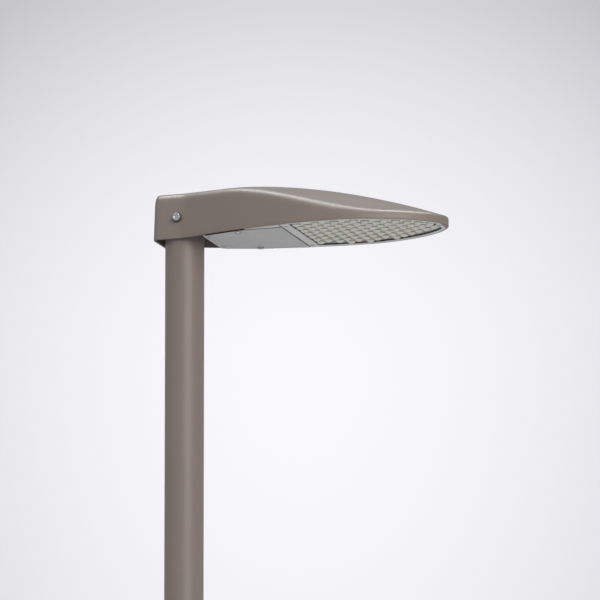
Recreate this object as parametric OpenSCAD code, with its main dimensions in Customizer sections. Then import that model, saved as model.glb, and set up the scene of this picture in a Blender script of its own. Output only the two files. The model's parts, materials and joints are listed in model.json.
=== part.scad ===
// Street lamp post: a stepped steel post with a service door, carrying a tilting post-top LED head.
// Frame: origin on the ground at the post's axis, +Z up, +X from the post towards the head's nose.
// Lengths are millimetres. Heights inside the head count from its lower rim, at light_height.

/* [Post] */
// Height of the head's lower rim above the ground
light_height = 4000; // [3000:50:6000]
// Outer diameter of the upper tube
upper_d = 76.1; // [63:0.1:92]
// Wall of the upper tube
upper_wall = 3.2; // [2.6:0.1:5]
// Outer diameter of the lower tube
lower_d = 114.3; // [110:0.1:140]
// Wall of the lower tube
lower_wall = 4; // [3:0.1:5]
// Height of the lower tube's top above the ground
step_height = 1200; // [1150:10:1600]
// Length of the cone between the tubes
cone_length = 70; // [50:5:120]

/* [Base] */
// Side of the square base plate
plate_size = 320; // [300:5:420]
// Thickness of the base plate
plate_thickness = 16; // [12:1:25]
// Centre-to-centre distance of the anchor holes
bolt_spacing = 230; // [200:5:240]
// Diameter of the anchor holes
bolt_hole_d = 24; // [18:1:32]
// Diameter of the cable hole in the base plate
cable_hole_d = 84; // [60:1:100]

/* [Service door] */
// Chord width of the door opening
door_width = 80; // [70:1:84]
// Height of the door opening
door_height = 400; // [340:5:480]
// Height of the opening's lower edge above the ground
door_bottom = 500; // [400:10:600]
// Gap round the door
door_gap = 1.2; // [0.8:0.1:2]
// Width of the terminal box behind the door
box_width = 56; // [48:1:58]

/* [Head] */
// Length of the canopy from its back to its nose
head_length = 586; // [560:1:710]
// Largest width of the canopy
head_width = 235; // [210:1:285]
// Height of the canopy's ridge above its rim
ridge_height = 100; // [95:1:118]
// Height of the canopy's shoulder at the collar
shoulder_height = 89; // [88:1:94]
// Height of the lip round the nose
lip_height = 17; // [15:0.5:20]
// Wall of the canopy
canopy_wall = 3.5; // [2.9:0.1:4.2]
// Largest upward tilt of the head, in degrees
tilt_max = 10; // [5:1:15]
// Height of the tilt axis above the rim
pivot_height = 41; // [36:1:44]
// Length of the gear cover
cover_length = 168; // [150:1:180]
// Thickness of the gear cover
cover_thickness = 2.5; // [2:0.1:3]
// Spacing of the lens columns along the head
lens_pitch = 19.2; // [16:0.1:23]
// Spacing of the lenses across the head
lens_row_pitch = 27; // [22:0.1:32]

/* [Hidden] */
$fn = 64;

// Colours
paint = "#8a7f78";
casting = "#b4b4b2";
cover_grey = "#989898";
steel = "#c4c5c6";
black = "#2a2a2a";

// Fits and clearances
slide_fit = 0.25;       // a part that slips over or into another
seat = 0.3;             // between parts that rest against each other
rim_gap = 0.4;          // between the canopy's wall and what lies inside it
turn_fit = 0.1;         // radial clearance of a pin in its bore
swing = 2.5;            // room that a tilting or opening part keeps

// Post
upper_r = upper_d / 2;
lower_r = lower_d / 2;
lower_in = lower_r - lower_wall;
tube_overlap = 60;      // the upper tube reaches this far down into the lower one
spigot_top = 60;        // the upper tube's end above the head's rim
weld = 6;               // leg of the weld round the shaft's foot
plate_corner = 30;

// Service door
door_mid = door_bottom + door_height / 2;
door_corner = 14;
frame_wall = 3;         // thickness of the reinforcing frame behind the door
frame_ledge = 9;        // how far the frame overlaps the tube all round
frame_hide = 7;         // ledge on which the door rests, at the sides
frame_end = 36;         // ledge at the ends, which takes the screws
door_screw_inset = 18;
door_screw_r = 4;
door_screw_head_r = 7.5;

// Terminal box
rail_width = 30;
rail_wall = 2;
rail_back = sqrt(pow(lower_in, 2) - pow(rail_width / 2, 2)) - seat;
box_back = sqrt(pow(lower_in - 3, 2) - pow(box_width / 2, 2));
box_depth = 42;
box_front = box_back - box_depth;
box_wall = 2.5;
box_height = 240;
box_bottom = door_mid - box_height / 2;
carrier_size = [20, 24, 58];            // the fuse carrier's body
carrier_mid = box_bottom + box_height - 60;
terminal_pitch = 10;
stud_z = door_bottom - 45;              // height of the earth stud

// Head: the collar round the mast adapter
adapter_wall = 2.6;
adapter_in = upper_r + slide_fit;
adapter_out = adapter_in + adapter_wall;
adapter_low = 14;
adapter_top = spigot_top + 4;
washer_t = 1.2;
washer_r = 13;
outer_washer_r = 9.5;
outer_washer_t = 1.5;
draft = tan(1.5);                      // lean of the head's side walls
collar_in = adapter_out + washer_t + 0.4 + draft * (pivot_height + washer_r);
collar_half = collar_in + canopy_wall;
rear_in = upper_r / cos(tilt_max) + pivot_height * tan(tilt_max) + swing;
rear_x = -(rear_in + canopy_wall);
nose_x = rear_x + head_length;
pivot_r = 5;
pivot_head_r = 7.3;
pivot_head_h = 7;

// Head: the canopy's surface
flare_x = 4;                            // where the collar starts to widen
widest_x = rear_x + head_length * 0.66;
rise_power = 0.85;
rise_ease = 0.1;
nose_power = 1.8;
nose_root = 1 / 1.75;
wave_x0 = rear_x + 148;                 // where the shoulder starts to fall towards the lip
wave_x1 = rear_x + head_length * 0.829; // where it has become the lip
ridge_x = rear_x + 182;                 // where the ridge starts to fall towards the nose
ridge_power = 1.75;
shoulder_sag = 3.5;                     // how far the shoulder sinks along the collar
flank_slope = 0.9;                      // steepness of the flank at the shoulder, as a share of its mean
corner_r = 14;                          // rear corners, seen from above
edge_r = 7;                             // the shoulder's rounding
rim_r = 1.2;
nose_r = 4;

// Head: the gear compartment
pivot_reach = adapter_out * cos(tilt_max) + (adapter_top - pivot_height) * sin(tilt_max);
cover_set_back = 9;                     // from the adapter's swing to the cover's rear edge
cover_x0 = pivot_reach + swing + cover_set_back;
cover_x1 = cover_x0 + cover_length;
cover_half_share = 0.74;                // the cover's straight half-width, as a share of the head's
cover_half = head_width / 2 * cover_half_share;
cover_top = 0.4;
cover_gap = 2.2;                        // between the cover's edge and what lies round it
cover_low = cover_top - cover_thickness;
bulkhead_t = 3;
frame_low = 2.6;
frame_t = 3.4;
frame_top = frame_low + frame_t;
hinge_x = cover_x1 - 2.5;
hinge_z = 3.2;
hinge_r = 1.6;
hinge_eye = 2.6;                        // outer radius of the frame's hinge eyes
hinge_ear = 8;
hinge_y = cover_half - 28;              // inner face of each hinge ear
bar_x1 = hinge_x - 6;                   // front of the gear frame
opening_x0 = cover_x0 + 22;
opening_x1 = bar_x1 - 9;
cover_screw_x = cover_x0 + 8;
cover_screw_y = collar_half - 4;
latch_x = cover_x0 + 76;
latch_y = min(cover_half - 10, inside_half(latch_x - 8, canopy_wall + rim_gap) - 9);
latch_r = 4.5;
opening_half = min(cover_half - 26, latch_y - 16);
tray_z = 58;
tray_t = 1.5;
driver_x0 = cover_x0 + 47;
driver_size = [opening_x1 - driver_x0 - 2, 64, 28];
post_r = 4;

// Head: the light engine
strip_x0 = cover_x1 + 3.6;
strip_w = 15.4;
lens_x0 = strip_x0 + strip_w;           // rear edge of the lens opening
lens_frame_t = 3;
lens_ring_t = 3;                        // height of the frame's ring, on which the lens plate rests
lens_gasket_t = 0.8;
lens_band = 7;                          // width of the lens frame along the sides
lens_nose = 9;                          // its width at the nose
lens_z = lens_ring_t + lens_gasket_t;
lens_t = 2;
dome_r = 10.5;
dome_depth = 5.6;
dome_base = 9.4;                        // radius that a dome needs on the plate
chip = 3.6;
chip_t = 0.7;
board_z = lens_z + lens_t + chip_t + 0.1;
board_t = 1.6;
spreader_z = board_z + board_t;
spreader_t = 3;
spreader_inset = canopy_wall + 14.5;
cable_d = 10;
gland_z = 74;

// ---- The canopy's surface, as functions of the distance from the post's axis

function smooth(s) = let (t = min(1, max(0, s))) t * t * (3 - 2 * t);
function corner_drop(r, d) = d >= r ? 0 : r - sqrt(r * r - pow(r - max(0, d), 2));
function rise(s) =
    let (g = s <= 0 ? 0 : pow(sin(90 * min(s, 1)), rise_power))
    (sqrt(g * g + rise_ease * rise_ease) - rise_ease) / (sqrt(1 + rise_ease * rise_ease) - rise_ease);

// Half-width of the rim
function rim_half(x) = x < widest_x
    ? collar_half + (head_width / 2 - collar_half) * rise((x - flare_x) / (widest_x - flare_x))
        - corner_drop(corner_r, x - rear_x)
    : head_width / 2 * pow(max(0, 1 - pow((x - widest_x) / (nose_x - widest_x), nose_power)), nose_root);
// Inner face of the outer washers, just clear of the collar
function washer_face() = rim_half(outer_washer_r) - draft * (pivot_height - outer_washer_r) + 0.1;
function rim_slope(x) = (rim_half(x + 0.5) - rim_half(x - 0.5));
// Half-width at a distance inside the rim, measured square to it
function inside_half(x, inset) = rim_half(x) - inset * sqrt(1 + pow(min(6, abs(rim_slope(x))), 2));

function end_drop(x) = corner_drop(edge_r, x - rear_x) + corner_drop(nose_r, nose_x - x);
function shoulder_z(x) = lip_height
    + (shoulder_height - shoulder_sag * smooth((x - rear_x - 42) / 110) - lip_height)
    * (1 - smooth((x - wave_x0) / (wave_x1 - wave_x0)));
function ridge_z(x) = x < ridge_x
    ? ridge_height - 4 * smooth((ridge_x - x) / (ridge_x - rear_x))
    : lip_height + (ridge_height - lip_height) * (1 - pow((x - ridge_x) / (nose_x - ridge_x), ridge_power));
function flank(t) = (3 - flank_slope) * t * t + (flank_slope - 2) * t * t * t;
function bend(a, b, c, t) = (1 - t) * (1 - t) * a + 2 * t * (1 - t) * b + t * t * c;

// One half of the cross-section from the rim to the ridge, as [y, z] points, at a distance inside the skin
function half_section(x, half, inset) =
    let (
        drop = end_drop(x) + inset,
        zs = ridge_z(x) - drop,
        zc = min(zs, shoulder_z(x) - drop),
        r = min(max(1.5, edge_r - inset), 0.45 * zc, 0.5 * half),
        low = inset > 0 ? 0 : rim_r,
        shoulder = [half - draft * zc, zc],
        side = [half - draft * (zc - r), zc - r],
        top_y = shoulder[0] - r,
        top = [top_y, zs - (zs - zc) * flank(top_y / shoulder[0])]
    )
    concat(
        inset > 0 ? [[half, 0]] : [[half - low, 0], [half - 0.35 * low, 0.35 * low], [half, low]],
        [side],
        [for (t = [0.25, 0.5, 0.75]) bend(side, shoulder, top, t)],
        [top],
        [for (k = [1:8]) let (y = top_y * (1 - k / 8)) [y, zs - (zs - zc) * flank(y / shoulder[0])]]
    );

function ring(x, half, inset) =
    let (
        h = half_section(x, half, inset),
        n = len(h),
        lean = draft * max(0, 1 - (x - rear_x) / 40)
    )
    concat(
        [for (p = h) [x + p[1] * lean, p[0], p[1]]],
        [for (k = [n - 2:-1:0]) [x + h[k][1] * lean, -h[k][0], h[k][1]]]
    );

// Stations along the head, close together where the outline turns fast, with one at the washers' edge
function body_x(k) = rear_x + corner_r + (widest_x - rear_x - corner_r) * k / 18;
stations = concat(
    [for (a = [0:22.5:67.5]) rear_x + corner_r * (1 - cos(a))],
    [for (k = [0:17]) let (x = body_x(k)) if (x < outer_washer_r - 2) x],
    [outer_washer_r],
    [for (k = [0:17]) let (x = body_x(k)) if (x > outer_washer_r + 2) x],
    [for (a = [0:5.5:82.5]) widest_x + (nose_x - widest_x) * sin(a)],
    [widest_x + (nose_x - widest_x) * 0.9995]
);
inner_rear = rear_x + canopy_wall;
inner_nose = nose_x - 2.6 * canopy_wall;
function inner_x(x) = inner_rear + (x - rear_x) * (inner_nose - inner_rear) / head_length;

module canopy_shell() {
    outer = [for (x = stations) ring(x, rim_half(x), 0)];
    inner = [for (x = stations) let (xi = inner_x(x)) ring(xi, inside_half(xi, canopy_wall), canopy_wall)];
    rows = len(stations);
    a = len(outer[0]);
    b = len(inner[0]);
    base = rows * a;
    polyhedron(
        points = concat([for (r = outer) each r], [for (r = inner) each r]),
        faces = concat(
            [for (i = [0:rows - 2]) for (j = [0:a - 2])
                [i * a + j, (i + 1) * a + j, (i + 1) * a + j + 1, i * a + j + 1]],
            [for (i = [0:rows - 2]) for (j = [0:b - 2])
                [base + i * b + j, base + i * b + j + 1, base + (i + 1) * b + j + 1, base + (i + 1) * b + j]],
            [[for (j = [0:a - 1]) j]],
            [[for (j = [a - 1:-1:0]) (rows - 1) * a + j]],
            [[for (j = [b - 1:-1:0]) base + j]],
            [[for (j = [0:b - 1]) base + (rows - 1) * b + j]],
            [for (i = [0:rows - 2]) [i * a, base + i * b, base + (i + 1) * b, (i + 1) * a]],
            [for (i = [0:rows - 2])
                [base + i * b + b - 1, i * a + a - 1, (i + 1) * a + a - 1, base + (i + 1) * b + b - 1]],
            [[0, a - 1, base + b - 1, base]],
            [[base + (rows - 1) * b, base + rows * b - 1, rows * a - 1, (rows - 1) * a]]
        ),
        convexity = 6
    );
}

// ---- Shared shapes

module at_head() { translate([0, 0, light_height]) children(); }

// Flat shape that follows the rim at a distance inside it, between two stations
module rim_shape(x0, x1, inset, steps = 24, cap = 1000) {
    xs = [for (k = [0:steps]) let (s = k / steps) x0 + (x1 - x0) * (1 - pow(1 - s, 1.7))];
    polygon(concat(
        [for (x = xs) [x, min(cap, inside_half(x, inset))]],
        [for (k = [steps:-1:0]) [xs[k], -min(cap, inside_half(xs[k], inset))]]
    ));
}

module slab(z, t) { translate([0, 0, z]) linear_extrude(t) children(); }
module rod(r, p, length, axis = "z") {
    turn = axis == "x" ? [0, 90, 0] : axis == "y" ? [-90, 0, 0] : [0, 0, 0];
    translate(p) rotate(turn) cylinder(h = length, r = r);
}
module block(x, y, z) {
    translate([x[0], y[0], z[0]]) cube([x[1] - x[0], y[1] - y[0], z[1] - z[0]]);
}
module rounded(size, r) {
    for (sx = [-1, 1], sy = [-1, 1])
        translate([sx * (size[0] / 2 - r), sy * (size[1] / 2 - r)]) circle(r);
    square([size[0] - 2 * r, size[1]], center = true);
    square([size[0], size[1] - 2 * r], center = true);
}
module on_both_sides() {
    children();
    mirror([0, 1, 0]) children();
}

// Round cable swept along a route
function sub(a, b) = [a[0] - b[0], a[1] - b[1], a[2] - b[2]];
function unit(v) = v / norm(v);
module sweep(route, d, sides = 10) {
    n = len(route);
    function along(i) = unit(sub(route[min(n - 1, i + 1)], route[max(0, i - 1)]));
    points = [for (i = [0:n - 1])
        let (
            t = along(i),
            u = unit(cross(t, abs(t[1]) < 0.9 ? [0, 1, 0] : [1, 0, 0])),
            v = cross(t, u)
        )
        each [for (k = [0:sides - 1]) route[i] + d / 2 * (cos(360 * k / sides) * u + sin(360 * k / sides) * v)]];
    polyhedron(points, concat(
        [[for (k = [sides - 1:-1:0]) k]],
        [[for (k = [0:sides - 1]) (n - 1) * sides + k]],
        [for (i = [0:n - 2]) for (k = [0:sides - 1])
            let (m = (k + 1) % sides)
            [i * sides + k, i * sides + m, (i + 1) * sides + m, (i + 1) * sides + k]]
    ), convexity = 8);
}

// ---- Post

module base_plate() {
    color(paint) {
        difference() {
            slab(0, plate_thickness) rounded([plate_size, plate_size], plate_corner);
            for (sx = [-1, 1], sy = [-1, 1])
                rod(bolt_hole_d / 2, [sx * bolt_spacing / 2, sy * bolt_spacing / 2, -1], plate_thickness + 2);
            rod(cable_hole_d / 2, [0, 0, -1], plate_thickness + 2);
        }
        rotate_extrude()
            translate([lower_r + 0.05, plate_thickness])
                polygon([[0, 0], [weld, 0], [0, weld]]);
    }
}

// Upright prism on the door side, as the door's outline grown by a margin
module door_prism(grow_x, grow_z, corner) {
    translate([0, 0, door_mid]) rotate([90, 0, 0])
        linear_extrude(lower_r + 30)
            rounded([door_width + 2 * grow_x, door_height + 2 * grow_z], corner);
}
module tube(r_out, r_in, z0, z1) {
    difference() {
        rod(r_out, [0, 0, z0], z1 - z0);
        rod(r_in, [0, 0, z0 - 1], z1 - z0 + 2);
    }
}

module lower_shaft() {
    color(paint) difference() {
        tube(lower_r, lower_in, plate_thickness, step_height);
        door_prism(0, 0, door_corner);
        rod(4.2, [lower_in - 5, 0, stud_z], lower_wall + 10, "x");
    }
}

module reducer_cone() {
    color(paint) rotate_extrude() polygon([
        [lower_in - slide_fit, step_height - 12],
        [lower_in - slide_fit, step_height + seat],
        [lower_r, step_height + seat],
        [lower_r, step_height + 6],
        [upper_r + 3.5, step_height + cone_length],
        [upper_r + slide_fit, step_height + cone_length],
        [upper_r + slide_fit, step_height - 12],
    ]);
}

module upper_shaft() {
    color(paint) tube(upper_r, upper_r - upper_wall, step_height - tube_overlap, light_height + spigot_top);
}

module door_screw_axes() {
    for (z = [door_bottom + door_screw_inset, door_bottom + door_height - door_screw_inset])
        translate([0, 0, z]) rotate([90, 0, 0]) children();
}

module door_frame() {
    r = lower_in - 0.1;
    color(steel) difference() {
        intersection() {
            union() {
                tube(r, r - frame_wall, door_bottom - 20, door_bottom + door_height + 20);
                door_screw_axes() translate([0, 0, r - frame_wall - 5]) cylinder(h = 7, r = 8);
            }
            door_prism(frame_ledge, frame_ledge, door_corner);
        }
        door_prism(-frame_hide, -frame_end, 8);
        door_screw_axes() translate([0, 0, r - 15]) cylinder(h = 20, r = door_screw_r + turn_fit);
    }
}

module door() {
    color(paint) difference() {
        intersection() {
            tube(lower_r, lower_in + 0.2, door_bottom - 20, door_bottom + door_height + 20);
            door_prism(-door_gap, -door_gap, door_corner - door_gap);
        }
        door_screw_axes() translate([0, 0, lower_in - 10]) cylinder(h = 30, r = door_screw_r + slide_fit);
    }
}

module door_screws() {
    color(steel) door_screw_axes() difference() {
        union() {
            translate([0, 0, lower_in - 9]) cylinder(h = lower_wall + 9.3, r = door_screw_r);
            translate([0, 0, lower_r + seat]) cylinder(h = 4, r1 = door_screw_head_r, r2 = door_screw_head_r - 2);
        }
        translate([0, 0, lower_r + 1.6]) cylinder(h = 4, r = 3.6, $fn = 3);
    }
}

// ---- Terminal box behind the door

module equipment_rail() {
    front = box_back + seat;
    z = [door_bottom - 30, door_bottom + door_height + 60];
    half = rail_width / 2;
    color(steel) difference() {
        block([-half, half], [front, rail_back], z);
        block([-half + rail_wall, half - rail_wall], [front + rail_wall, rail_back + 1], [z[0] - 1, z[1] + 1]);
        for (s = [-1, 1])
            rod(2.6, [0, front - 1, door_mid + s * (box_height / 2 - 14)], rail_wall + 2, "y");
    }
}

module terminal_box() {
    half = box_width / 2;
    color(black) difference() {
        block([-half, half], [box_front, box_back], [box_bottom, box_bottom + box_height]);
        block([-half + box_wall, half - box_wall], [box_front - 1, box_back - box_wall],
            [box_bottom + box_wall, box_bottom + box_height - box_wall]);
        rod(8.2, [0, (box_front + box_back) / 2, box_bottom + box_height - box_wall - 1], box_wall + 2);
        for (s = [-1, 1])
            rod(12, [s * 13, (box_front + box_back) / 2, box_bottom - 1], box_wall + 2);
        for (s = [-1, 1])
            rod(2.6, [0, box_back - box_wall - 1, door_mid + s * (box_height / 2 - 14)], box_wall + 2, "y");
    }
}

module terminal_box_cover() {
    half = box_width / 2;
    w = carrier_size[0] / 2 + 3.4;
    h = carrier_size[2] / 2 + 3;
    color(cover_grey) difference() {
        block([-half, half], [box_front - seat - 2.5, box_front - seat], [box_bottom, box_bottom + box_height]);
        block([-w, w], [box_front - 10, box_front + 5], [carrier_mid - h, carrier_mid + h]);
    }
}

module box_screws() {
    color(steel) for (s = [-1, 1]) {
        z = door_mid + s * (box_height / 2 - 14);
        rod(2.5, [0, box_back - box_wall - 1, z], box_wall + rail_wall + 5, "y");
        rod(4.5, [0, box_back - box_wall - seat - 2.4, z], 2.4, "y");
    }
}

module cable_terminals() {
    half = box_width / 2 - box_wall - 1.5;
    y1 = box_back - box_wall - seat;
    z = [box_bottom + 70, box_bottom + 112];
    color("#c9c3a8") difference() {
        block([-half, half], [y1 - 28, y1], z);
        for (x = [-half + 6:terminal_pitch:half - 5]) {
            rod(3.2, [x, y1 - 22, z[0] - 1], 20);
            rod(2.8, [x, y1 - 30, z[0] + 30], 14, "y");
        }
    }
}

module fuse_base() {
    y1 = box_back - box_wall - seat;
    y0 = box_front + carrier_size[1] - 6;
    w = carrier_size[0] / 2;
    h = carrier_size[2] / 2;
    color("#e3e2dd") {
        block([-w - 3, w + 3], [y0, y1], [carrier_mid - h - 6, carrier_mid + h + 6]);
        for (s = [-1, 1])
            block([s * (w + 1.5) - 1.2, s * (w + 1.5) + 1.2], [carrier_hinge[0] - 5, y0 + 1],
                [carrier_hinge[1] - 6, carrier_hinge[1] + 12]);
        rod(1.5, [-w - 1.5, carrier_hinge[0], carrier_hinge[1]], 2 * w + 3, "x");
    }
}

carrier_y0 = box_front - 6;                 // front face of the fuse carrier
carrier_hinge = [carrier_y0 + 9, carrier_mid - carrier_size[2] / 2 + 7];

module fuse_carrier() {
    w = carrier_size[0] / 2;
    h = carrier_size[2] / 2;
    y1 = box_front + carrier_size[1] - 6 - 3;
    color("#3c3c3e") difference() {
        union() {
            block([-w, w], [carrier_y0, y1 - 8], [carrier_mid - h + 8, carrier_mid + h]);
            rod(6, [-w, carrier_hinge[0], carrier_hinge[1]], 2 * w, "x");
            block([-w, w], [carrier_y0, carrier_hinge[0] + 3], [carrier_mid - h + 6, carrier_mid - h + 14]);
            block([-w + 3, w - 3], [carrier_y0 - 5, carrier_y0], [carrier_mid + h - 12, carrier_mid + h - 6]);
        }
        rod(5.3, [0, carrier_hinge[0] + 1, carrier_mid - 15], 42);
        rod(1.6, [-w - 1, carrier_hinge[0], carrier_hinge[1]], 2 * w + 2, "x");
    }
}

module fuse_link() {
    y = carrier_hinge[0] + 1;
    color("#efeee9") rod(4.9, [0, y, carrier_mid - 12], 32);
    color(steel) for (z = [-14.6, 20.6]) rod(5, [0, y, carrier_mid + z], 2);
}

module box_gland() {
    y = (box_front + box_back) / 2;
    z = box_bottom + box_height;
    color(black) difference() {
        union() {
            rod(8, [0, y, z - 8], 10);
            rod(12, [0, y, z + seat], 9, $fn = 6);
            rod(9.5, [0, y, z + 9], 8);
        }
        rod(cable_d / 2 + 0.3, [0, y, z - 9], 30);
    }
}

module earth_stud() {
    z = stud_z;
    color(steel) {
        rod(4, [lower_in - 22, 0, z], lower_wall + 24, "x");
        rod(6.4, [lower_in - 7, 0, z], 6.5, "x", $fn = 6);
        rod(9, [lower_in - 9.5, 0, z], 1.6, "x");
        rod(6.4, [lower_in - 18, 0, z], 6.5, "x", $fn = 6);
        rod(6, [lower_r + 0.2, 0, z], 3, "x");
    }
}

module pole_cable() {
    y = (box_front + box_back) / 2;
    z = box_bottom + box_height;
    top = light_height + pivot_height - 0.7;
    color(black) sweep([
        [0, y, z - 20], [0, y, z + 30], [0, y * 0.96, z + 60], [0, y * 0.8, z + 90], [0, y * 0.5, z + 125],
        [0, y * 0.2, z + 160], [0, y * 0.04, z + 190], [0, 0, z + 220], [0, 0, (z + top) / 2], [0, 0, top],
    ], cable_d);
}

// ---- Head: adapter and tilt axis

module mast_adapter() {
    at_head() color(casting) difference() {
        rod(adapter_out, [0, 0, adapter_low], adapter_top - adapter_low);
        rod(adapter_in, [0, 0, adapter_low - 1], spigot_top + seat - adapter_low + 1);
        rod(adapter_in - 14, [0, 0, 0], adapter_top + 1);
        rod(pivot_r + turn_fit / 2, [0, -adapter_out - 1, pivot_height], 2 * adapter_out + 2, "y");
    }
}

module pivot_screws() {
    shank = washer_face() + outer_washer_t + 0.03 - upper_r;
    at_head() color(steel) on_both_sides() difference() {
        union() {
            rod(pivot_r, [0, upper_r + 0.05, pivot_height], shank, "y");
            rod(pivot_head_r, [0, upper_r + shank, pivot_height], pivot_head_h, "y");
        }
        rod(4.2, [0, upper_r + shank + 3, pivot_height], 7, "y", $fn = 6);
    }
}

module tilt_washers() {
    at_head() color(black) on_both_sides() difference() {
        union() {
            rod(washer_r, [0, adapter_out + 0.2, pivot_height], washer_t, "y");
            rod(outer_washer_r, [0, washer_face(), pivot_height], outer_washer_t, "y");
        }
        rod(pivot_r + turn_fit, [0, adapter_out - 1, pivot_height], 30, "y");
    }
}

// ---- Head: canopy and bulkheads

module canopy() {
    at_head() color(paint) difference() {
        canopy_shell();
        rod(pivot_r + turn_fit, [0, -collar_half - 5, pivot_height], 2 * collar_half + 10, "y");
    }
}

// Wall across the canopy, shaped to its inside
module bulkhead(x, z0) {
    inset = canopy_wall + rim_gap + 0.5;
    h = half_section(x, inside_half(x, inset), inset);
    at_head() translate([x, 0, 0]) rotate([90, 0, 90]) linear_extrude(bulkhead_t) difference() {
        polygon(concat([for (p = h) p], [for (k = [len(h) - 2:-1:0]) [-h[k][0], h[k][1]]]));
        translate([-500, -1]) square([1000, z0 + 1]);
    }
}

module rear_bulkhead() {
    color(casting) difference() {
        bulkhead(cover_x0, frame_top + seat);
        at_head() rod(8.2, [cover_x0 - 1, 0, gland_z], bulkhead_t + 2, "x");
        at_head() rod(6.2, [cover_x0 - 1, 30, 50], bulkhead_t + 2, "x");
    }
}

bulkhead_x1 = strip_x0 + 1;

module front_bulkhead() {
    color(casting) difference() {
        bulkhead(bulkhead_x1, spreader_z + spreader_t + seat);
        at_head() rod(6.2, [bulkhead_x1 - 1, 10, 36], bulkhead_t + 2, "x");
    }
}

module cable_gland() {
    at_head() color(black) difference() {
        union() {
            rod(8, [cover_x0 - 3, 0, gland_z], 14, "x");
            rod(10, [cover_x0 - 8, 0, gland_z], 7.7, "x");
            rod(10.5, [cover_x0 + bulkhead_t + seat, 0, gland_z], 6, "x", $fn = 6);
        }
        rod(cable_d / 2 + 0.3, [cover_x0 - 10, 0, gland_z], 30, "x");
    }
}

module vent_plug() {
    at_head() color(black) {
        rod(6, [cover_x0 - 1.5, 30, 50], 8, "x");
        rod(8.5, [cover_x0 - 1.5 - 4, 30, 50], 5.2, "x");
    }
}

terminals_x = cover_x0 + 17;

module head_cable() {
    x = cover_x0 + 20;
    at_head() color(black) sweep([
        [0, 0, pivot_height + 0.7], [0, 0, 50], [1, 0, 58], [4, 0, 65], [9, 0, 70.5], [16, 0, 73.4], [24, 0, gland_z],
        [cover_x0, 0, gland_z], [x - 4, 0, gland_z], [x + 3, -1, 72], [x + 8, -3, 67], [x + 10, -7, 60],
        [x + 10, -12, 54], [x + 10, -18, 50], [x + 10, -25, 48], [x + 10, -33, 48],
    ], cable_d);
}

// ---- Head: gear cover and its frame

module gear_frame_shape() {
    rim_shape(cover_x0, bar_x1, canopy_wall + rim_gap, 16);
}
module gear_opening_shape(grow = 0) {
    rim_shape(opening_x0 - grow, opening_x1 + grow, canopy_wall + rim_gap + 14 - grow, 12, opening_half + grow);
}

module gear_frame() {
    at_head() color(casting) difference() {
        union() {
            slab(frame_low, frame_t) gear_frame_shape();
            slab(cover_low + 0.6, frame_low - cover_low) difference() {
                rim_shape(cover_x0, cover_x1, canopy_wall + rim_gap, 24);
                rim_shape(cover_x0 - 1, cover_x1 + 1, canopy_wall - 0.5, 24, cover_half + cover_gap);
            }
            on_both_sides() {
                block([bar_x1 - 1, hinge_x], [hinge_y + hinge_ear + 0.5, hinge_y + hinge_ear + 6],
                    [hinge_z - 2.3, hinge_z + hinge_eye]);
                rod(hinge_eye, [hinge_x, hinge_y + hinge_ear + 0.5, hinge_z], 5.5, "y");
            }
        }
        slab(frame_low - 1, frame_t + 4) gear_opening_shape();
        slab(frame_low - 1, 3.2) difference() {
            gear_opening_shape(8);
            gear_opening_shape(3.5);
        }
        on_both_sides() {
            rod(3.6, [cover_screw_x, cover_screw_y, frame_low - 1.5], frame_t + 3);
            rod(latch_r + 1.2, [latch_x, latch_y, frame_low - 1.5], frame_t + 3);
            rod(hinge_r + 0.02, [hinge_x, hinge_y, hinge_z], hinge_ear + 8, "y");
        }
    }
}

module cover_gasket() {
    at_head() color(black) slab(cover_top + seat, frame_low + 1.9 - cover_top - seat) difference() {
        gear_opening_shape(7.6);
        gear_opening_shape(3.9);
    }
}

module gear_cover() {
    at_head() color(cover_grey) difference() {
        union() {
            slab(cover_low, cover_thickness) rim_shape(cover_x0, cover_x1, canopy_wall + cover_gap, 24, cover_half);
            slab(cover_top - 0.5, 5) difference() {
                gear_opening_shape(-2);
                gear_opening_shape(-4);
            }
            for (s = [-1, 1])
                block([opening_x0 + 3, opening_x1 - 3], [s * 24 - 1, s * 24 + 1], [cover_top - 0.5, cover_top + 4]);
            on_both_sides() {
                rod(3, [hinge_x, hinge_y, hinge_z], hinge_ear, "y");
                block([hinge_x - 3, hinge_x + 2.5], [hinge_y, hinge_y + hinge_ear], [cover_top - 0.5, hinge_z]);
            }
        }
        on_both_sides() {
            rod(2.5 + slide_fit, [cover_screw_x, cover_screw_y, cover_low - 1], 6);
            rod(4.8, [cover_screw_x, cover_screw_y, cover_low - 1], 2);
            rod(latch_r + turn_fit, [latch_x, latch_y, cover_low - 1], 6);
            rod(hinge_r + turn_fit, [hinge_x, hinge_y - 1, hinge_z], hinge_ear + 2, "y");
        }
    }
}

module hinge_pins() {
    at_head() color(steel) on_both_sides()
        rod(hinge_r, [hinge_x, hinge_y - 0.5, hinge_z], hinge_ear + 6, "y");
}

module cover_screws() {
    at_head() color(steel) on_both_sides() difference() {
        union() {
            rod(2.5, [cover_screw_x, cover_screw_y, cover_low + 1], frame_low + 2.5 - cover_low);
            rod(4.3, [cover_screw_x, cover_screw_y, cover_low - 0.5], 1.5);
        }
        rod(1.9, [cover_screw_x, cover_screw_y, cover_low - 1], 1.6, $fn = 6);
    }
}

// Quarter-turn latch: slotted head below the cover, bayonet stud above it
module latch(side) {
    y = side * latch_y;
    at_head() color(steel) difference() {
        union() {
            rod(latch_r, [latch_x, y, cover_low - 0.3], frame_top + 0.9 - cover_low);
            rod(latch_r + 1.9, [latch_x, y, cover_low - 2.3], 2);
        }
        block([latch_x - 5, latch_x + 5], [y - 0.8, y + 0.8], [cover_low - 3, cover_low - 1.2]);
    }
}
module latch_left() { latch(1); }
module latch_right() { latch(-1); }

// ---- Head: control gear

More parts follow.
